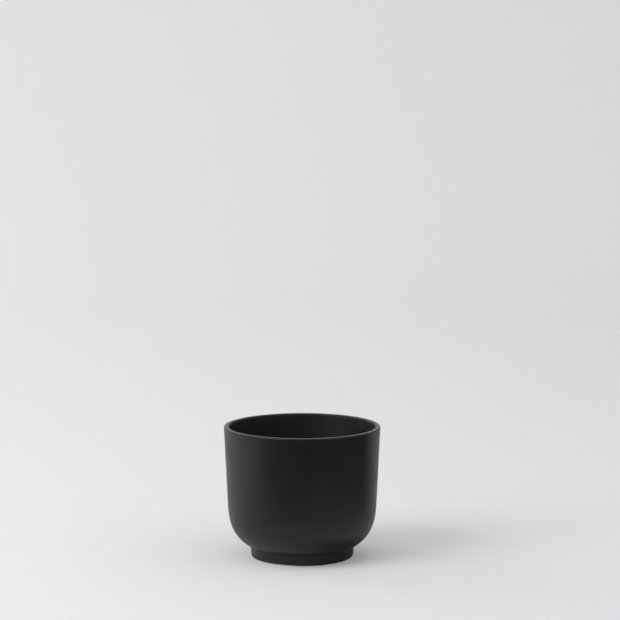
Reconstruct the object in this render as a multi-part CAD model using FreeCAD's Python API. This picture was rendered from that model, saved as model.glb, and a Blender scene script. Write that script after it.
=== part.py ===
"""An empty candle jar: a footed stoneware cup with a matte black glaze.

Units are millimetres. The jar stands on z = 0 with its axis on +Z.
Every piece is a solid of revolution, so each one is drawn as an outline in the
plane of radius and height, and turned once round the axis.

The fired clay is two pieces: the bowl, and the foot ring that is luted to its
underside. The glaze is three coats: one outside, one inside, and one in the recess
under the foot. They meet at the crown of the lip, and the ring's sole stays bare.
"""

import math
import os

import FreeCAD
import Part

# --- driving dimensions, all on the glazed surface unless they say clay ---
RIM_RADIUS = 45.0
HEIGHT = 76.2
WALL = 3.0
GLAZE = 0.3

# lip: two rounded edges with a narrow flat crown between them
LIP_OUTER_ROUND = 0.8
LIP_INNER_ROUND = 1.0

# outside wall: straight and drawn in by this angle, down to where the corner starts
WALL_TAPER = math.radians(2.67)
CORNER_TOP = 30.6
# the outside corner leaves the wall along it, and meets the foot at this slope
CORNER_WALL_HANDLE = 12.2
CORNER_FOOT_HANDLE = 10.85
FOOT_SLOPE = math.radians(30.8)

# foot ring
FOOT_TOP_RADIUS = 29.85
FOOT_TOP_HEIGHT = 6.25
FOOT_SOLE_RADIUS = 29.4
FOOT_JOINT_ROUND = 0.6
FOOT_INNER_RADIUS = 25.2
# the clay's rounded edges: outside, from the foot's side to the sole, and inside
FOOT_EDGE_ROUND = 1.5
SOLE_ROUND = 0.45
RECESS_HEIGHT = 3.4
RECESS_ROUND = 0.7

# the coats stop above the sole, which is wiped bare
GLAZE_LINE = 0.6
RECESS_GLAZE_LINE = 1.1

# inside
INNER_CORNER_TOP = 26.8
INNER_WALL_HANDLE = 9.0
INNER_FLOOR_HANDLE = 8.0
FLOOR_HEIGHT = 7.8
FLOOR_RADIUS = 22.0


# --- points and directions in the plane of radius and height ---
def point(radius, height):
    return FreeCAD.Vector(radius, 0, height)


def direction(angle):
    """A unit vector, with the angle counted from outward towards up."""
    return point(math.cos(angle), math.sin(angle))


def meet(start, along, other, other_along):
    """Where two straight lines cross."""
    gap = other - start
    across = along.x * other_along.z - along.z * other_along.x
    return start + along * ((gap.x * other_along.z - gap.z * other_along.x) / across)


def rounded(corner, arriving, leaving, radius):
    """Start, middle and end of the arc that rounds a corner between two directions."""
    turn = arriving.getAngle(leaving)
    reach = radius * math.tan(turn / 2)
    towards_centre = (leaving - arriving).normalize()
    centre = corner + towards_centre * (radius / math.cos(turn / 2))
    return corner - arriving * reach, centre - towards_centre * radius, corner + leaving * reach


class Outline:
    """A closed outline, drawn edge by edge, that turns into a solid."""

    def __init__(self, start):
        self.first = self.here = start
        self.edges = []

    def line(self, end):
        if end.distanceToPoint(self.here) > 1e-7:
            self.edges.append(Part.LineSegment(self.here, end).toShape())
        self.here = end
        return self

    def arc(self, middle, end):
        self.edges.append(Part.Arc(self.here, middle, end).toShape())
        self.here = end
        return self

    def round(self, arc_points):
        """A straight run up to the arc, and then the arc."""
        start, middle, end = arc_points
        return self.line(start).arc(middle, end)

    def curve(self, poles):
        """A smooth curve whose first pole is where the outline is now."""
        bezier = Part.BezierCurve()
        bezier.setPoles(list(poles))
        self.edges.append(bezier.toShape())
        self.here = poles[-1]
        return self

    def solid(self):
        self.line(self.first)
        face = Part.Face(Part.Wire(self.edges))
        turned = face.revolve(FreeCAD.Vector(0, 0, 0), FreeCAD.Vector(0, 0, 1), 360)
        solid = turned if turned.ShapeType == "Solid" else turned.Solids[0]
        if solid.Volume < 0:
            solid.reverse()
        return solid


OUT = direction(0)
IN = direction(math.pi)
DOWN_WALL = direction(-math.pi / 2 - WALL_TAPER)
WALL_OUTWARD = direction(-WALL_TAPER)
DOWN_TO_FOOT = direction(math.pi + FOOT_SLOPE)
CORNER_OUTWARD = direction(-math.pi / 2 + FOOT_SLOPE)

CROWN_RADIUS = RIM_RADIUS - WALL / 2
SHOULDER = point(RIM_RADIUS, HEIGHT - LIP_OUTER_ROUND)
INNER_SHOULDER = SHOULDER - point(WALL, 0)
FOOT_TOP = point(FOOT_TOP_RADIUS, FOOT_TOP_HEIGHT)
DOWN_FOOT = (point(FOOT_SOLE_RADIUS, 0) - FOOT_TOP).normalize()
FOOT_OUTWARD = point(-DOWN_FOOT.z, DOWN_FOOT.x)


def crown(depth):
    """The middle of the lip's crown, that far under the glaze."""
    return point(CROWN_RADIUS, HEIGHT - depth)


def outer_lip(depth):
    """The lip's outer edge: the arc between the flat crown and the tapered wall."""
    corner = meet(crown(depth), OUT, SHOULDER - WALL_OUTWARD * depth, DOWN_WALL)
    return rounded(corner, OUT, DOWN_WALL, LIP_OUTER_ROUND - depth)


def inner_lip(depth):
    """The lip's inner edge, drawn the same way towards the inside wall."""
    corner = meet(crown(depth), IN, INNER_SHOULDER + WALL_OUTWARD * depth, DOWN_WALL)
    return rounded(corner, IN, DOWN_WALL, LIP_INNER_ROUND - depth)


def on_wall(shoulder, height):
    """The point of a tapered wall at that height."""
    return meet(shoulder, DOWN_WALL, point(0, height), OUT)


def foot_joint(depth):
    """The inside corner between the bowl and the side of the foot."""
    beside_bowl = FOOT_TOP - CORNER_OUTWARD * depth
    beside_foot = FOOT_TOP - FOOT_OUTWARD * depth
    return meet(beside_bowl, DOWN_TO_FOOT, beside_foot, DOWN_FOOT)


def outer_corner(depth, end):
    """Poles of the outside corner, from the wall down to a point beside the foot."""
    start = on_wall(SHOULDER, CORNER_TOP) - WALL_OUTWARD * depth
    shrink = start.distanceToPoint(end) / on_wall(SHOULDER, CORNER_TOP).distanceToPoint(FOOT_TOP)
    return [
        start,
        start + DOWN_WALL * (CORNER_WALL_HANDLE * shrink),
        end - DOWN_TO_FOOT * (CORNER_FOOT_HANDLE * shrink),
        end,
    ]


def inner_corner(depth):
    """Poles of the inside corner, from the flat floor up to the wall."""
    start = point(FLOOR_RADIUS, FLOOR_HEIGHT - depth)
    end = on_wall(INNER_SHOULDER, INNER_CORNER_TOP) + WALL_OUTWARD * depth
    handle = INNER_WALL_HANDLE + depth
    return [start, start + OUT * (INNER_FLOOR_HANDLE + depth), end + DOWN_WALL * handle, end]


# clay points that pieces share: the ring's outer top, the middle of the bowl's underside,
# the ring's inner top, and its inner bottom corner
CLAY_JOINT = foot_joint(GLAZE)
UNDERSIDE = point(0, RECESS_HEIGHT + GLAZE)
SEAT_EDGE = meet(CLAY_JOINT, DOWN_TO_FOOT, UNDERSIDE, OUT)
SOLE_INSIDE = point(FOOT_INNER_RADIUS + GLAZE, 0)
DOWN_INSIDE = (SOLE_INSIDE - SEAT_EDGE).normalize()
INSIDE_INWARD = point(DOWN_INSIDE.z, -DOWN_INSIDE.x)

# the foot's outside bottom edge, and the centre its clay and its coat are rounded about
SOLE_OUTSIDE = meet(CLAY_JOINT, DOWN_FOOT, point(0, 0), OUT)
FOOT_EDGE = rounded(SOLE_OUTSIDE, DOWN_FOOT, IN, FOOT_EDGE_ROUND)
FOOT_EDGE_CENTRE = FOOT_EDGE[-1] + point(0, FOOT_EDGE_ROUND)


def round_end(coat_end, clay_end, onward):
    """The tip of a coat's wiped edge, which is rounded over its whole thickness."""
    return (coat_end + clay_end) * 0.5 + onward * (GLAZE / 2)


def on_foot_edge(facing, radius):
    """The point of the foot's rounded edge that faces a direction."""
    return FOOT_EDGE_CENTRE + facing * radius


def bowl():
    """The fired clay of the wall, the floor and the seat of the foot ring."""
    outline = Outline(UNDERSIDE)
    outline.line(SEAT_EDGE).line(CLAY_JOINT)
    outline.curve(outer_corner(GLAZE, CLAY_JOINT)[::-1])
    outline.round(outer_lip(GLAZE)[::-1])
    outline.line(crown(GLAZE)).round(inner_lip(GLAZE))
    outline.line(inner_corner(GLAZE)[-1]).curve(inner_corner(GLAZE)[::-1])
    outline.line(point(0, FLOOR_HEIGHT - GLAZE))
    return outline.solid()


def foot_ring():
    """The clay ring luted under the bowl, with a flat, bare sole to stand on."""
    outline = Outline(CLAY_JOINT)
    outline.round(FOOT_EDGE)
    outline.round(rounded(SOLE_INSIDE, IN, DOWN_INSIDE * -1, SOLE_ROUND))
    outline.line(SEAT_EDGE)
    return outline.solid()


def outer_glaze():
    """The coat from the crown of the lip to the glaze line above the sole."""
    joint_start, joint_middle, joint_end = rounded(
        foot_joint(0), DOWN_TO_FOOT, DOWN_FOOT, FOOT_JOINT_ROUND
    )
    coat_radius = FOOT_EDGE_ROUND + GLAZE
    end_angle = -math.asin((FOOT_EDGE_CENTRE.z - GLAZE_LINE) / coat_radius)
    end_facing = direction(end_angle)
    midway = (FOOT_OUTWARD + end_facing).normalize()
    coat_end = on_foot_edge(end_facing, coat_radius)
    clay_end = on_foot_edge(end_facing, FOOT_EDGE_ROUND)
    outline = Outline(crown(0))
    outline.round(outer_lip(0))
    outline.line(on_wall(SHOULDER, CORNER_TOP)).curve(outer_corner(0, joint_start))
    outline.arc(joint_middle, joint_end)
    outline.line(on_foot_edge(FOOT_OUTWARD, coat_radius))
    outline.arc(on_foot_edge(midway, coat_radius), coat_end)
    outline.arc(round_end(coat_end, clay_end, direction(end_angle - math.pi / 2)), clay_end)
    outline.arc(on_foot_edge(midway, FOOT_EDGE_ROUND), FOOT_EDGE[0])
    outline.line(CLAY_JOINT).curve(outer_corner(GLAZE, CLAY_JOINT)[::-1])
    outline.round(outer_lip(GLAZE)[::-1])
    outline.line(crown(GLAZE))
    return outline.solid()


def inner_glaze():
    """The lining from the crown of the lip down over the inside floor."""
    outline = Outline(crown(0))
    outline.round(inner_lip(0))
    outline.line(inner_corner(0)[-1]).curve(inner_corner(0)[::-1])
    outline.line(point(0, FLOOR_HEIGHT)).line(point(0, FLOOR_HEIGHT - GLAZE))
    outline.line(inner_corner(GLAZE)[0]).curve(inner_corner(GLAZE))
    outline.round(inner_lip(GLAZE)[::-1])
    outline.line(crown(GLAZE))
    return outline.solid()


def base_glaze():
    """The coat in the recess under the jar, turned down a little way inside the ring."""
    clay_end = meet(SEAT_EDGE, DOWN_INSIDE, point(0, RECESS_GLAZE_LINE), OUT)
    coat_end = clay_end + INSIDE_INWARD * GLAZE
    corner = meet(coat_end, DOWN_INSIDE, point(0, RECESS_HEIGHT), OUT)
    outline = Outline(UNDERSIDE)
    outline.line(point(0, RECESS_HEIGHT))
    outline.round(rounded(corner, OUT, DOWN_INSIDE, RECESS_ROUND))
    outline.line(coat_end).arc(round_end(coat_end, clay_end, DOWN_INSIDE), clay_end)
    outline.line(SEAT_EDGE)
    return outline.solid()


PIECES = {
    "bowl": bowl,
    "foot_ring": foot_ring,
    "outer_glaze": outer_glaze,
    "inner_glaze": inner_glaze,
    "base_glaze": base_glaze,
}


def main():
    os.makedirs("parts", exist_ok=True)
    for name, make in PIECES.items():
        solid = make()
        solid.exportStep(f"parts/{name}.step")
        print(f"{name}: valid {solid.isValid()}, {solid.Volume / 1000:.2f} cm3")


main()
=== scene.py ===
import cmath
import math

import bmesh
import bpy
import numpy as np
from mathutils import Euler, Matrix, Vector, noise


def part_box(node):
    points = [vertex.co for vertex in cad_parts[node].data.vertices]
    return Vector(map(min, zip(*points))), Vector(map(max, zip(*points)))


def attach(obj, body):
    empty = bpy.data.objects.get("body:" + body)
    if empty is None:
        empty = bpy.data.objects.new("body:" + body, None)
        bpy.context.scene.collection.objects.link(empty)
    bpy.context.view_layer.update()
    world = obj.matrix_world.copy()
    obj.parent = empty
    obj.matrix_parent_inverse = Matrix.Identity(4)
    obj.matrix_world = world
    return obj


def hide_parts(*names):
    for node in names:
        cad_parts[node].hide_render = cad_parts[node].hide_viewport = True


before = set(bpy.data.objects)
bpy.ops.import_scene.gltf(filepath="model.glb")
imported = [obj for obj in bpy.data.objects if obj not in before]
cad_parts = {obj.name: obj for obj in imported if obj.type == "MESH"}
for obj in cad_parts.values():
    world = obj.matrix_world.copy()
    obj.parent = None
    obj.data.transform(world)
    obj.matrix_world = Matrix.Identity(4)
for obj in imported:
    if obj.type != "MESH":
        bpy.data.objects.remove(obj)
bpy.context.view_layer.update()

BODY = "root"
MM = 0.001

# --- the jar's dimensions in millimetres, from the frame where a box gives them ---
OUTER_LOW, OUTER_HIGH = (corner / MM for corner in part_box("outer_glaze"))
INNER_LOW, INNER_HIGH = (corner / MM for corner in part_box("inner_glaze"))
CLAY_LOW, CLAY_HIGH = (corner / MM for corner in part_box("bowl"))
RIM_RADIUS = OUTER_HIGH.x
HEIGHT = OUTER_HIGH.z
GLAZE = HEIGHT - CLAY_HIGH.z
CROWN_RADIUS = INNER_HIGH.x
FLOOR_HEIGHT = INNER_LOW.z + GLAZE
RECESS_HEIGHT = CLAY_LOW.z - GLAZE
RECESS_GLAZE_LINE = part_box("base_glaze")[0].z / MM + GLAZE / 2

# --- the rest of its outline, as the CAD has it ---
LIP_OUTER_ROUND = 0.8
LIP_INNER_ROUND = 1.0
WALL_TAPER = math.radians(2.67)
CORNER_TOP = 30.6
CORNER_WALL_HANDLE = 12.2
CORNER_FOOT_HANDLE = 10.85
FOOT_SLOPE = math.radians(30.8)
FOOT_TOP = 29.85 + 6.25j
FOOT_SOLE = 29.4 + 0j
FOOT_JOINT_ROUND = 0.6
FOOT_INNER_RADIUS = 25.2
FOOT_EDGE_ROUND = 1.5
SOLE_ROUND = 0.45
RECESS_ROUND = 0.7
INNER_CORNER_TOP = 26.8
INNER_WALL_HANDLE = 9.0
INNER_FLOOR_HANDLE = 8.0
FLOOR_FLAT_RADIUS = 22.0

# --- the surface's unevenness: how far apart its features are, and how deep ---
SWELL_SIZE, SWELL_DEPTH = 17.0, 0.045
PEEL_SIZE, PEEL_DEPTH = 4.5, 0.010
# rings left inside by the forming tool, which wander and fade over longer distances
RING_PITCH, RING_DEPTH = 2.3, 0.008
RING_WANDER_SIZE, RING_WANDER = 30.0, 1.2
RING_FADE_SIZE = 14.0
# grooves left in the clay by the turning tool, and pits
GROOVE_PITCH, GROOVE_DEPTH = 0.55, 0.035
GROOVE_WANDER_SIZE, GROOVE_WANDER = 9.0, 1.5
PIT_SIZE, PIT_DEPTH = 1.3, 0.03
# the waves of a wiped glaze line: height, number round the foot, and phase
LINE_WAVES = ((0.20, 3, 1.47), (0.05, 7, 2.0), (0.04, 13, 1.1), (0.02, 31, 0.0))
# how far above the line the coat follows it
LINE_REACH = 2.0
RECESS_LINE_REACH = 1.0
# each seed's noise is read this many features away from the one before
SEED_STEP = Vector((7.31, 3.17, 5.71))

# --- how finely the pieces are meshed ---
SEGMENTS = 512
ROW = 1.0
FINE_ROW = 0.25
GROOVE_ROW = 0.1
HIDDEN_ROW = 3.0
ARC_STEPS = 10
# about how much longer a curve is than the straight line between its ends
CURVE_STRETCH = 1.1
SHARP_ANGLE = math.radians(50)
# in metres: corners as near as this are one
PIECE_JOIN, STAGE_JOIN = 1e-8, 1e-6


# --- outlines: a point is a complex number, radius + height * 1j, in millimetres ---
def heading(angle):
    """A unit step, with the angle counted from outward towards up."""
    return cmath.exp(1j * angle)


def cross(a, b):
    return (a.conjugate() * b).imag


def meet(start, along, other, other_along):
    """Where two straight lines cross."""
    return start + along * cross(other - start, other_along) / cross(along, other_along)


def straight(start, end, row=ROW):
    """Points along a straight run, without its first one."""
    count = max(1, math.ceil(abs(end - start) / row))
    return [start + (end - start) * k / count for k in range(1, count + 1)]


def rounded(corner, arriving, leaving, radius):
    """Points along the arc that rounds a corner between two headings."""
    turn = cmath.phase(leaving / arriving)
    start = corner - arriving * radius * math.tan(abs(turn) / 2)
    centre = start + arriving * radius * (1j if turn > 0 else -1j)
    steps = [turn * k / ARC_STEPS for k in range(ARC_STEPS + 1)]
    return [centre + (start - centre) * heading(step) for step in steps]


def smooth_step(value, low, high):
    share = min(max((value - low) / (high - low), 0), 1)
    return share * share * (3 - 2 * share)


def bezier(poles, row):
    """Points along a smooth curve, with both its ends."""
    a, b, c, d = poles
    count = math.ceil(abs(d - a) * CURVE_STRETCH / row)
    shares = [k / count for k in range(count + 1)]
    return [
        a * (1 - t) ** 3 + 3 * b * (1 - t) ** 2 * t + 3 * c * (1 - t) * t * t + d * t**3
        for t in shares
    ]


OUT = 1
IN = -1
DOWN_WALL = heading(-math.pi / 2 - WALL_TAPER)
WALL_OUTWARD = DOWN_WALL * 1j
DOWN_TO_FOOT = heading(math.pi + FOOT_SLOPE)
CORNER_OUTWARD = DOWN_TO_FOOT * 1j
DOWN_FOOT = (FOOT_SOLE - FOOT_TOP) / abs(FOOT_SOLE - FOOT_TOP)
FOOT_OUTWARD = DOWN_FOOT * 1j
SHOULDER = RIM_RADIUS + (HEIGHT - LIP_OUTER_ROUND) * 1j
INNER_SHOULDER = SHOULDER - 2 * (RIM_RADIUS - CROWN_RADIUS)


def crown(depth):
    """The middle of the lip's crown, that far under the glaze."""
    return CROWN_RADIUS + (HEIGHT - depth) * 1j


def on_wall(shoulder, height):
    """The point of a tapered wall at that height."""
    return meet(shoulder, DOWN_WALL, height * 1j, OUT)


def foot_joint(depth):
    """The inside corner between the bowl and the side of the foot."""
    beside_bowl = FOOT_TOP - CORNER_OUTWARD * depth
    beside_foot = FOOT_TOP - FOOT_OUTWARD * depth
    return meet(beside_bowl, DOWN_TO_FOOT, beside_foot, DOWN_FOOT)


def outer_side(depth, end, row=ROW):
    """From the crown over the lip, down the wall and round the corner to its end by the foot."""
    lip_corner = meet(crown(depth), OUT, SHOULDER - WALL_OUTWARD * depth, DOWN_WALL)
    points = [crown(depth)] + rounded(lip_corner, OUT, DOWN_WALL, LIP_OUTER_ROUND - depth)
    corner_top = on_wall(SHOULDER, CORNER_TOP)
    start = corner_top - WALL_OUTWARD * depth
    shrink = abs(end - start) / abs(FOOT_TOP - corner_top)
    leaving_wall = start + DOWN_WALL * CORNER_WALL_HANDLE * shrink
    arriving_foot = end - DOWN_TO_FOOT * CORNER_FOOT_HANDLE * shrink
    points += straight(points[-1], start, row)
    return points + bezier([start, leaving_wall, arriving_foot, end], row)[1:]


def inner_side(depth, row=ROW):
    """From the middle of the floor, round the corner, up the wall and over the lip to the crown."""
    middle = (FLOOR_HEIGHT - depth) * 1j
    start = middle + FLOOR_FLAT_RADIUS
    end = on_wall(INNER_SHOULDER, INNER_CORNER_TOP) + WALL_OUTWARD * depth
    leaving_floor = start + INNER_FLOOR_HANDLE + depth
    arriving_wall = end + DOWN_WALL * (INNER_WALL_HANDLE + depth)
    lip_corner = meet(crown(depth), IN, INNER_SHOULDER + WALL_OUTWARD * depth, DOWN_WALL)
    lip = rounded(lip_corner, IN, DOWN_WALL, LIP_INNER_ROUND - depth)[::-1]
    points = [middle] + straight(middle, start, row)
    points += bezier([start, leaving_floor, arriving_wall, end], row)[1:]
    return points + straight(end, lip[0], row) + lip[1:] + [crown(depth)]


def round_end(coat_end, clay_end, onward):
    """The tip of a coat's wiped edge, which is rounded over its whole thickness."""
    return (coat_end + clay_end) / 2 + onward * GLAZE / 2


CLAY_JOINT = foot_joint(GLAZE)
UNDERSIDE = (RECESS_HEIGHT + GLAZE) * 1j
SEAT_EDGE = meet(CLAY_JOINT, DOWN_TO_FOOT, UNDERSIDE, OUT)
SOLE_INSIDE = FOOT_INNER_RADIUS + GLAZE
DOWN_INSIDE = (SOLE_INSIDE - SEAT_EDGE) / abs(SOLE_INSIDE - SEAT_EDGE)
INSIDE_INWARD = DOWN_INSIDE * -1j

# the foot's outside bottom edge: clay and coat are rounded about one centre, and the coat
# stops part of the way round
SOLE_OUTSIDE = meet(CLAY_JOINT, DOWN_FOOT, 0j, OUT)
FOOT_EDGE = rounded(SOLE_OUTSIDE, DOWN_FOOT, IN, FOOT_EDGE_ROUND)
FOOT_EDGE_CENTRE = FOOT_EDGE[-1] + FOOT_EDGE_ROUND * 1j
COAT_STOP = -math.asin((FOOT_EDGE_ROUND - GLAZE / 2 - OUTER_LOW.z) / (FOOT_EDGE_ROUND + GLAZE / 2))
GLAZE_LINE = FOOT_EDGE_ROUND + (FOOT_EDGE_ROUND + GLAZE) * math.sin(COAT_STOP)


def coated_edge(radius):
    """Points round the foot's bottom edge at that radius, as far as the coat goes."""
    start = cmath.phase(FOOT_OUTWARD)
    turns = [start + (COAT_STOP - start) * k / ARC_STEPS for k in range(ARC_STEPS + 1)]
    return [FOOT_EDGE_CENTRE + radius * heading(turn) for turn in turns]


def up_the_foot(point):
    """A unit step up the side of the foot, or round its bottom edge."""
    facing = point - FOOT_EDGE_CENTRE
    return 1j if facing.imag > 0 else 1j * facing / abs(facing)


# --- relief ---
def smooth_noise(places, cell, seed):
    """Noise from about -1 to 1, with features of about that size."""
    offset = SEED_STEP * seed
    return np.array([noise.noise(Vector(place) / cell + offset) for place in places])


def glaze_relief(places):
    """Slow swells from the forming and the firing, and the glaze's soft orange peel."""
    swells = SWELL_DEPTH * smooth_noise(places, SWELL_SIZE, 1)
    return swells + PEEL_DEPTH * smooth_noise(places, PEEL_SIZE, 2)


def lining_relief(places):
    """The same, with faint rings left by the forming tool, which fade in and out."""
    radius = np.hypot(places[:, 0], places[:, 1])
    along = places[:, 2] + (RIM_RADIUS - radius)
    wander = RING_WANDER * smooth_noise(places, RING_WANDER_SIZE, 5)
    rings = np.sin(along * 2 * math.pi / RING_PITCH + wander)
    strength = 0.5 + 0.5 * smooth_noise(places, RING_FADE_SIZE, 6)
    return glaze_relief(places) + RING_DEPTH * rings * strength


def clay_relief(places):
    """Turning grooves and pits, which only go into the clay."""
    radius = np.hypot(places[:, 0], places[:, 1])
    wander = GROOVE_WANDER * smooth_noise(places, GROOVE_WANDER_SIZE, 3)
    groove = 0.5 + 0.5 * np.sin(radius * 2 * math.pi / GROOVE_PITCH + wander)
    return -GROOVE_DEPTH * groove - PIT_DEPTH * abs(smooth_noise(places, PIT_SIZE, 4))


def glaze_line_wave(angles):
    """How far the wiped edge of a coat strays up and down round the foot."""
    return sum(height * np.sin(count * angles + phase) for height, count, phase in LINE_WAVES)


class Outline:
    """An outline to turn into a piece, with a normal at each point that the relief lifts."""

    def __init__(self):
        self.points = []
        self.normals = []

    def face(self, points):
        """Adds a visible run, with the piece on its right."""
        steps = np.gradient(np.array(points))
        self.points += points
        self.normals += list(steps / abs(steps) * 1j)

    def hidden(self, points):
        """Adds a run that lies on another piece, and takes no relief."""
        self.points += points
        self.normals += [0] * len(points)


def in_space(outline_values, turn):
    """Values of an outline's points, turned round the axis, one row for each point."""
    values = np.array(outline_values)[:, None]
    across = values.real * turn
    up = np.broadcast_to(values.imag, across.shape)
    return np.stack([across.real, across.imag, up], axis=-1).reshape(-1, 3)


def smooth_piece(name, corners, faces, join, closed=False):
    """A smooth mesh in the scene, without loose corners. A closed one faces outwards."""
    mesh = bpy.data.meshes.new(name)
    mesh.from_pydata(corners, [], faces)
    shape = bmesh.new()
    shape.from_mesh(mesh)
    bmesh.ops.remove_doubles(shape, verts=shape.verts, dist=join)
    bmesh.ops.delete(shape, geom=[v for v in shape.verts if not v.link_faces], context="VERTS")
    if closed:
        bmesh.ops.recalc_face_normals(shape, faces=shape.faces)
    for face in shape.faces:
        face.smooth = True
    shape.to_mesh(mesh)
    shape.free()
    piece = bpy.data.objects.new(name, mesh)
    bpy.context.scene.collection.objects.link(piece)
    return piece


def turned(name, outline, relief, slide=None):
    """One closed piece: the outline turned round the axis, with its relief."""
    angles = np.arange(SEGMENTS) * 2 * math.pi / SEGMENTS
    turn = np.exp(1j * angles)[None, :]
    places = in_space(outline.points, turn)
    normals = in_space(outline.normals, turn)
    shown = np.any(normals != 0, axis=1)
    places[shown] += normals[shown] * relief(places[shown])[:, None]
    if slide:
        steps = in_space([slide(point) for point in outline.points], turn)
        places += steps * np.tile(glaze_line_wave(angles), len(outline.points))[:, None]

    rows = len(outline.points)
    from_axis = abs(outline.points[0].real) < 1e-6
    faces = [
        (row * SEGMENTS + k, row * SEGMENTS + after, above * SEGMENTS + after, above * SEGMENTS + k)
        for row, above in zip(range(rows), [*range(1, rows), 0])
        for k, after in zip(range(SEGMENTS), [*range(1, SEGMENTS), 0])
        if above or not from_axis
    ]
    piece = smooth_piece(name, (places * MM).tolist(), faces, PIECE_JOIN, closed=True)
    piece.data.set_sharp_from_angle(angle=SHARP_ANGLE)
    return piece


# --- pieces ---
def near_line(line, reach, upward):
    """A step upward at and below a glaze line, which fades out to nothing that far above it."""
    def step(point):
        return upward(point) * (1 - smooth_step(point.imag, line, line + reach))
    return step


def outer_coat():
    """The glaze outside, down to the line above the sole."""
    joint = rounded(foot_joint(0), DOWN_TO_FOOT, DOWN_FOOT, FOOT_JOINT_ROUND)
    coat_edge = coated_edge(FOOT_EDGE_ROUND + GLAZE)
    clay_edge = coated_edge(FOOT_EDGE_ROUND)[::-1]
    outline = Outline()
    visible = outer_side(0, joint[0]) + joint[1:]
    outline.face(visible + straight(joint[-1], coat_edge[0], FINE_ROW) + coat_edge[1:])
    outline.hidden([round_end(coat_edge[-1], clay_edge[0], heading(COAT_STOP) * -1j)] + clay_edge)
    outline.hidden(straight(clay_edge[-1], CLAY_JOINT))
    outline.hidden(outer_side(GLAZE, CLAY_JOINT, HIDDEN_ROW)[::-1][1:])
    slide = near_line(GLAZE_LINE, LINE_REACH, up_the_foot)
    return turned("outer_coat", outline, glaze_relief, slide)


def lining():
    """The glaze inside."""
    outline = Outline()
    outline.face(inner_side(0))
    outline.hidden(inner_side(GLAZE, HIDDEN_ROW)[::-1])
    return turned("lining", outline, lining_relief)


def recess_coat():
    """The glaze in the recess under the jar."""
    clay_end = meet(SEAT_EDGE, DOWN_INSIDE, RECESS_GLAZE_LINE * 1j, OUT)
    coat_end = clay_end + INSIDE_INWARD * GLAZE
    corner = meet(coat_end, DOWN_INSIDE, RECESS_HEIGHT * 1j, OUT)
    arc = rounded(corner, -DOWN_INSIDE, IN, RECESS_ROUND)
    outline = Outline()
    outline.hidden([UNDERSIDE] + straight(UNDERSIDE, SEAT_EDGE, HIDDEN_ROW) + [clay_end])
    outline.hidden([round_end(coat_end, clay_end, DOWN_INSIDE)])
    outline.face([coat_end] + straight(coat_end, arc[0], FINE_ROW) + arc[1:]
                 + straight(arc[-1], RECESS_HEIGHT * 1j))
    slide = near_line(RECESS_GLAZE_LINE, RECESS_LINE_REACH, lambda point: 1j)
    return turned("recess_coat", outline, glaze_relief, slide)


def clay_foot():
    """The foot ring, with the sole that stays bare."""
    inside = rounded(SOLE_INSIDE + 0j, IN, -DOWN_INSIDE, SOLE_ROUND)
    outline = Outline()
    outline.face([CLAY_JOINT] + straight(CLAY_JOINT, FOOT_EDGE[0], FINE_ROW) + FOOT_EDGE[1:]
                 + straight(FOOT_EDGE[-1], inside[0], GROOVE_ROW) + inside[1:]
                 + straight(inside[-1], SEAT_EDGE, FINE_ROW))
    outline.hidden(straight(SEAT_EDGE, CLAY_JOINT)[:-1])
    return turned("clay_foot", outline, clay_relief)


# --- materials ---
# the range that noise mostly stays in
NOISE_RANGE = 0.3, 0.7
GLAZE_DARK = (0.0037, 0.0034, 0.0048, 1)
GLAZE_LIGHT = (0.0057, 0.0053, 0.0072, 1)
GLAZE_THIN = (0.0200, 0.0165, 0.0145, 1)
OUTER_ROUGHNESS = 0.46
INNER_ROUGHNESS = 0.56
# how far the roughness strays over the mottle and over the grain, and its share on the lip
ROUGHNESS_BY_MOTTLE = 0.025
ROUGHNESS_BY_GRAIN = 0.04
LIP_SMOOTHNESS = 0.65
GLAZE_IOR = 1.45
# in millimetres: the sizes of the glaze's features, the depths of its bumps, and the lip's band
MOTTLE_SIZE = 14.0
GRAIN_SIZE, GRAIN_BUMP = 0.7, 0.004
DIMPLE_SIZE, DIMPLE_BUMP = 2.6, 0.012
PINHOLE_CELL, PINHOLE_RADIUS, PINHOLE_BUMP = 5.0, 0.16, -0.03
PINHOLES_LEFT_OUT = 0.55
LIP_BAND = 0.45
# how thin the glaze is on the lip, over this range of the mottle
LIP_THINNESS, LIP_MOTTLE = (0.2, 0.7), (0.25, 0.75)
CLAY_DARK = (0.60, 0.58, 0.49, 1)
CLAY_LIGHT = (0.70, 0.68, 0.59, 1)
CLAY_SPECK = (0.30, 0.25, 0.18, 1)
CLAY_ROUGHNESS = (0.86, 0.97)
CLOUD_SIZE = 6.0
# specks are where their noise reaches this range
SPECK_SIZE, SPECK_RANGE = 0.35, (0.68, 0.76)
CLAY_GRAIN_SIZE, CLAY_GRAIN_BUMP = 0.25, 0.02
PAPER_DARK = (0.795, 0.79, 0.80, 1)
PAPER_LIGHT = (0.805, 0.80, 0.81, 1)
PAPER_ROUGHNESS = 0.9
PAPER_SPECULAR = 0.2
PAPER_GLOW = 0.11
FIBRE_SIZE, FIBRE_RANGE = 1.5, (0.2, 0.8)


def add(tree, kind, inputs=None, **settings):
    """Adds a node. An input is a value, or another node's output."""
    node = tree.nodes.new(kind)
    for name, value in settings.items():
        setattr(node, name, value)
    for name, value in (inputs or {}).items():
        if isinstance(value, bpy.types.NodeSocket):
            tree.links.new(value, node.inputs[name])
        else:
            node.inputs[name].default_value = value
    return node


def start_material(name):
    material = bpy.data.materials.new(name)
    material.use_nodes = True
    tree = material.node_tree
    place = add(tree, "ShaderNodeTexCoord").outputs["Object"]
    return material, tree, tree.nodes["Principled BSDF"], place


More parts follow.
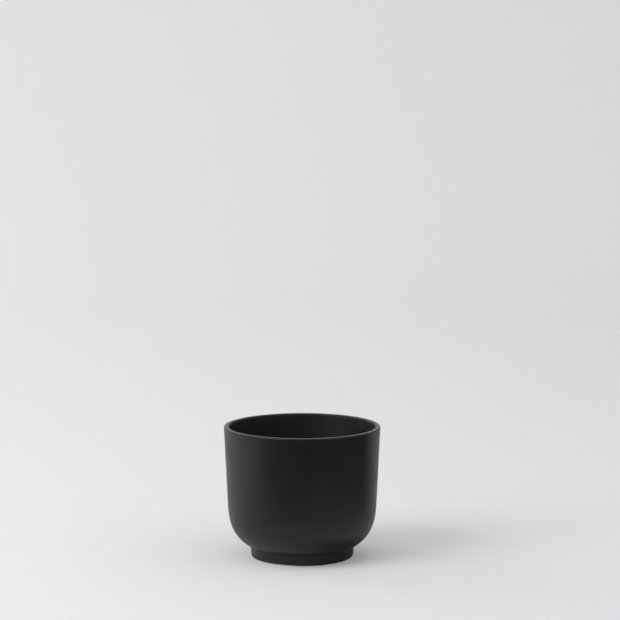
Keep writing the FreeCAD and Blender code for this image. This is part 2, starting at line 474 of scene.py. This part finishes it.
def texture(tree, place, size, detail=2.0):
    """Noise from 0 to 1, with features of that size in millimetres."""
    inputs = {"Vector": place, "Scale": 1 / (size * MM), "Detail": detail}
    return add(tree, "ShaderNodeTexNoise", inputs).outputs["Fac"]


def between(tree, value, low, high, to_low=0.0, to_high=1.0):
    """Carries a value from one range to another, and stops at its ends."""
    source = {"Value": value, "From Min": low, "From Max": high}
    inputs = {**source, "To Min": to_low, "To Max": to_high}
    return add(tree, "ShaderNodeMapRange", inputs).outputs["Result"]


def spread(tree, noise_value, to_low=0.0, to_high=1.0):
    """Carries the range that noise mostly stays in to another."""
    return between(tree, noise_value, *NOISE_RANGE, to_low, to_high)


def mixed(tree, share, low, high):
    """A colour between two others."""
    node = add(tree, "ShaderNodeMix", data_type="RGBA")
    for socket, value in ((node.inputs[0], share), (node.inputs[6], low), (node.inputs[7], high)):
        if isinstance(value, bpy.types.NodeSocket):
            tree.links.new(value, socket)
        else:
            socket.default_value = value
    return node.outputs[2]


def bump(tree, height, depth, under=None):
    """A bump whose full height is that many millimetres, over another bump."""
    inputs = {"Height": height, "Strength": 1.0, "Distance": depth * MM}
    if under:
        inputs["Normal"] = under
    return add(tree, "ShaderNodeBump", inputs).outputs["Normal"]


def height_of(tree, place):
    """Height above the sole, in metres."""
    return add(tree, "ShaderNodeSeparateXYZ", {"Vector": place}).outputs["Z"]


def both(tree, one, other, operation="MULTIPLY"):
    """Two values joined by an operation."""
    return add(tree, "ShaderNodeMath", {0: one, 1: other}, operation=operation).outputs[0]


def pinholes(tree, place):
    """1 in a few small round pits, of which each cell has at most one."""
    inputs = {"Vector": place, "Scale": 1 / (PINHOLE_CELL * MM)}
    cells = add(tree, "ShaderNodeTexVoronoi", inputs)
    edge = PINHOLE_RADIUS / PINHOLE_CELL
    pit = between(tree, cells.outputs["Distance"], edge / 2, edge, 1, 0)
    chance = add(tree, "ShaderNodeSeparateColor", {"Color": cells.outputs["Color"]}).outputs[0]
    return both(tree, pit, between(tree, chance, PINHOLES_LEFT_OUT, PINHOLES_LEFT_OUT + 0.01))


def matte_black_glaze(name, middle_roughness):
    """A dry black glaze that is thinner, browner and smoother on the lip."""
    material, tree, shader, place = start_material(name)
    mottle = texture(tree, place, MOTTLE_SIZE, 4.0)
    grain = texture(tree, place, GRAIN_SIZE, 3.0)
    on_lip = between(tree, height_of(tree, place), (HEIGHT - LIP_BAND) * MM, HEIGHT * MM)
    thin = both(tree, on_lip, between(tree, mottle, *LIP_MOTTLE, *LIP_THINNESS))

    colour = mixed(tree, spread(tree, mottle), GLAZE_DARK, GLAZE_LIGHT)
    tree.links.new(mixed(tree, thin, colour, GLAZE_THIN), shader.inputs["Base Color"])
    by_mottle = spread(tree, mottle, -ROUGHNESS_BY_MOTTLE, ROUGHNESS_BY_MOTTLE)
    by_grain = spread(tree, grain, middle_roughness - ROUGHNESS_BY_GRAIN,
                      middle_roughness + ROUGHNESS_BY_GRAIN)
    roughness = both(tree, by_mottle, by_grain, "ADD")
    roughness = both(tree, roughness, between(tree, on_lip, 0, 1, 1, LIP_SMOOTHNESS))
    tree.links.new(roughness, shader.inputs["Roughness"])
    shader.inputs["IOR"].default_value = GLAZE_IOR
    relief = bump(tree, pinholes(tree, place), PINHOLE_BUMP)
    relief = bump(tree, texture(tree, place, DIMPLE_SIZE), DIMPLE_BUMP, relief)
    tree.links.new(bump(tree, grain, GRAIN_BUMP, relief), shader.inputs["Normal"])
    return material


def bare_stoneware():
    """Fine pale clay with a few dark specks."""
    material, tree, shader, place = start_material("bare_stoneware")
    cloud = spread(tree, texture(tree, place, CLOUD_SIZE, 3.0))
    colour = mixed(tree, cloud, CLAY_DARK, CLAY_LIGHT)
    specks = between(tree, texture(tree, place, SPECK_SIZE, 1.0), *SPECK_RANGE)
    colour = mixed(tree, specks, colour, CLAY_SPECK)
    tree.links.new(colour, shader.inputs["Base Color"])
    grain = texture(tree, place, CLAY_GRAIN_SIZE, 4.0)
    tree.links.new(spread(tree, grain, *CLAY_ROUGHNESS), shader.inputs["Roughness"])
    tree.links.new(bump(tree, grain, CLAY_GRAIN_BUMP), shader.inputs["Normal"])
    return material


def pale_paper():
    """White paper, which glows a little as if lit from below, so that shadows on it stay pale."""
    material, tree, shader, place = start_material("pale_paper")
    fibre = between(tree, texture(tree, place, FIBRE_SIZE, 4.0), *FIBRE_RANGE)
    tree.links.new(mixed(tree, fibre, PAPER_DARK, PAPER_LIGHT), shader.inputs["Base Color"])
    shader.inputs["Roughness"].default_value = PAPER_ROUGHNESS
    shader.inputs["Specular IOR Level"].default_value = PAPER_SPECULAR
    shader.inputs["Emission Color"].default_value = (1, 1, 1, 1)
    shader.inputs["Emission Strength"].default_value = PAPER_GLOW
    return material


def dress(piece, material, slot, *nodes):
    """Gives a piece its finish and its body, and hides the CAD nodes that it stands for."""
    piece.data.materials.append(material)
    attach(piece, BODY)
    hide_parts(*nodes)


# --- stage, lights and camera, in metres ---
# the floor's first rings end at these radii: under the jar, in its shade, and near it
FLOOR_RINGS = (0.031, 0.046, 0.13)
SHADE_RING, NEAR_RING = 1, 2
STAGE_FLAT = 1.3
STAGE_SWEEP = 0.9
STAGE_HEIGHT = 2.6
STAGE_FRONT = 3.2
STAGE_COLUMNS = 384
STAGE_CURVE_ROWS = 24
# how far round from the camera's side the wall starts, and where it is fully up
WALL_STARTS = math.radians(75)
WALL_STANDS = math.radians(95)
# beyond the near ring, the glaze doesn't reflect this much of the floor in front
APRON_LEFT = math.radians(-60)
APRON_RIGHT = math.radians(112)
# in the shade ring, it doesn't reflect this share, on the shaded side
SHADE_SHARE = 0.75
SHADE_GROWS = math.radians(-20), math.radians(45)
SHADE_FADES = math.radians(100), math.radians(150)


def stage_section():
    """The stage's outline from its middle outwards: flat, swept up, and then a wall."""
    centre = STAGE_FLAT + STAGE_SWEEP * 1j
    turns = [math.pi / 2 * k / STAGE_CURVE_ROWS for k in range(STAGE_CURVE_ROWS + 1)]
    sweep = [centre - STAGE_SWEEP * 1j * heading(turn) for turn in turns]
    rings = [radius + 0j for radius in FLOOR_RINGS]
    return [0j] + rings + sweep + [sweep[-1].real + STAGE_HEIGHT * 1j]


def off_front(angle):
    """How far round from the camera's side an angle is, anticlockwise from above."""
    return math.remainder(angle + math.pi / 2, 2 * math.pi)


def stage_column(angle, section):
    """The section's points at that angle. It lies flat, and reaches further, in front."""
    walled = smooth_step(abs(off_front(angle)), WALL_STARTS, WALL_STANDS)
    column = []
    for point in section:
        beyond = max(point.real - STAGE_FLAT, 0) / STAGE_SWEEP
        radius = point.real + (1 - walled) * beyond * (STAGE_FRONT - STAGE_FLAT - STAGE_SWEEP)
        column.append((radius * math.cos(angle), radius * math.sin(angle), point.imag * walled))
    return column


def shade_share(angle):
    """How much of the shade ring the glaze doesn't reflect at that angle."""
    grown = smooth_step(off_front(angle), *SHADE_GROWS)
    return SHADE_SHARE * grown * (1 - smooth_step(off_front(angle), *SHADE_FADES))


def studio():
    """A round floor of pale paper that sweeps up into a wall, except towards the camera."""
    section = stage_section()
    rows = len(section)
    angles = [2 * math.pi * k / STAGE_COLUMNS for k in range(STAGE_COLUMNS)]
    corners = [corner for angle in angles for corner in stage_column(angle, section)]
    backdrop, apron = [], []
    shade = 0.0
    for column, angle in enumerate(angles):
        first, second = column * rows, (column + 1) % STAGE_COLUMNS * rows
        in_front = APRON_LEFT < off_front(angle) < APRON_RIGHT
        # a column's part of the shade ring is left out each time the shares add up to one
        shade = shade % 1 + shade_share(angle)
        for row in range(rows - 1):
            unseen = shade >= 1 if row == SHADE_RING else in_front and row > NEAR_RING
            face = (first + row, first + row + 1, second + row + 1, second + row)
            (apron if unseen else backdrop).append(face)
    paper = pale_paper()
    for name, faces in (("backdrop", backdrop), ("apron", apron)):
        piece = smooth_piece(name, corners, faces, STAGE_JOIN)
        piece.data.materials.append(paper)
        # the apron is kept out of the glaze's reflections
        piece.visible_glossy = name == "backdrop"


def softbox(name, place, aim, size, power, colour=(1, 1, 1)):
    light = bpy.data.lights.new(name, "AREA")
    light.shape = "DISK"
    light.size = size
    light.energy = power
    light.color = colour
    lamp = bpy.data.objects.new(name, light)
    lamp.location = place
    lamp.rotation_euler = (Vector(aim) - Vector(place)).to_track_quat("-Z", "Y").to_euler()
    bpy.context.scene.collection.objects.link(lamp)


CAMERA_LENS = 130.34
CAMERA_SENSOR = 36
CAMERA_DISTANCE = 1.30
CAMERA_ELEVATION = math.radians(11.28)
CAMERA_TILT = math.radians(6.68)
CAMERA_PAN = math.radians(0.203)


def camera():
    data = bpy.data.cameras.new("camera")
    data.lens = CAMERA_LENS
    data.sensor_width = CAMERA_SENSOR
    eye = bpy.data.objects.new("camera", data)
    middle = HEIGHT * MM / 2
    eye.location = (
        0,
        -CAMERA_DISTANCE * math.cos(CAMERA_ELEVATION),
        middle + CAMERA_DISTANCE * math.sin(CAMERA_ELEVATION),
    )
    eye.rotation_euler = Euler((math.pi / 2 - CAMERA_TILT, 0, -CAMERA_PAN))
    bpy.context.scene.collection.objects.link(eye)
    bpy.context.scene.camera = eye


# the key is a large softbox in front to the left, and a second one lights the wall behind
KEY_SIDE = math.radians(-147)
KEY_HEIGHT = math.radians(34)
KEY_REACH = 1.9
KEY_AIM = (0, 0, 0.04)
KEY_SIZE = 1.5
KEY_POWER = 21.8
KEY_COLOUR = (1.0, 1.0, 1.03)
WALL_LIGHT_PLACE = (-1.7, 1.0, 1.2)
WALL_LIGHT_AIM = (0, 1.6, 0.2)
WALL_LIGHT_SIZE = 0.8
WALL_LIGHT_POWER = 5.0
# the sky is bright above and to the right in front, and dies away towards the other side
SKY_BRIGHTEST = (0.5, -0.35, 0.8)
SKY_ENDS = 0.2
SKY_FULL = 0.95
SKY_STRENGTH = 0.77
SKY_COLOUR = (0.99, 0.99, 1.0, 1)


def sky():
    world = bpy.data.worlds.new("sky")
    world.use_nodes = True
    tree = world.node_tree
    towards = add(tree, "ShaderNodeTexCoord").outputs["Generated"]
    brightest = Vector(SKY_BRIGHTEST).normalized()
    facing = add(tree, "ShaderNodeVectorMath", {0: towards, 1: brightest}, operation="DOT_PRODUCT")
    fade = {"Value": facing.outputs["Value"], "From Min": SKY_ENDS, "From Max": SKY_FULL,
            "To Min": 0.0, "To Max": SKY_STRENGTH}
    strength = add(tree, "ShaderNodeMapRange", fade, interpolation_type="SMOOTHSTEP")
    background = tree.nodes["Background"]
    background.inputs["Color"].default_value = SKY_COLOUR
    tree.links.new(strength.outputs["Result"], background.inputs["Strength"])
    bpy.context.scene.world = world


def lights():
    along = KEY_REACH * math.cos(KEY_HEIGHT)
    up = KEY_REACH * math.sin(KEY_HEIGHT)
    place = (along * math.cos(KEY_SIDE), along * math.sin(KEY_SIDE), up)
    softbox("key", place, KEY_AIM, KEY_SIZE, KEY_POWER, KEY_COLOUR)
    softbox("wall_light", WALL_LIGHT_PLACE, WALL_LIGHT_AIM, WALL_LIGHT_SIZE, WALL_LIGHT_POWER)


glaze = matte_black_glaze("matte_black_glaze", OUTER_ROUGHNESS)
inside_glaze = matte_black_glaze("matte_black_lining", INNER_ROUGHNESS)
clay = bare_stoneware()
dress(outer_coat(), glaze, "black_glaze", "outer_glaze")
dress(lining(), inside_glaze, "black_glaze", "inner_glaze")
dress(recess_coat(), glaze, "black_glaze", "base_glaze")
dress(clay_foot(), clay, "stoneware", "foot_ring")
# the coats cover all of the bowl, so it keeps its CAD shape
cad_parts["bowl"].data.materials[0] = clay
studio()
sky()
lights()
camera()
bpy.context.scene.view_settings.view_transform = "Standard"
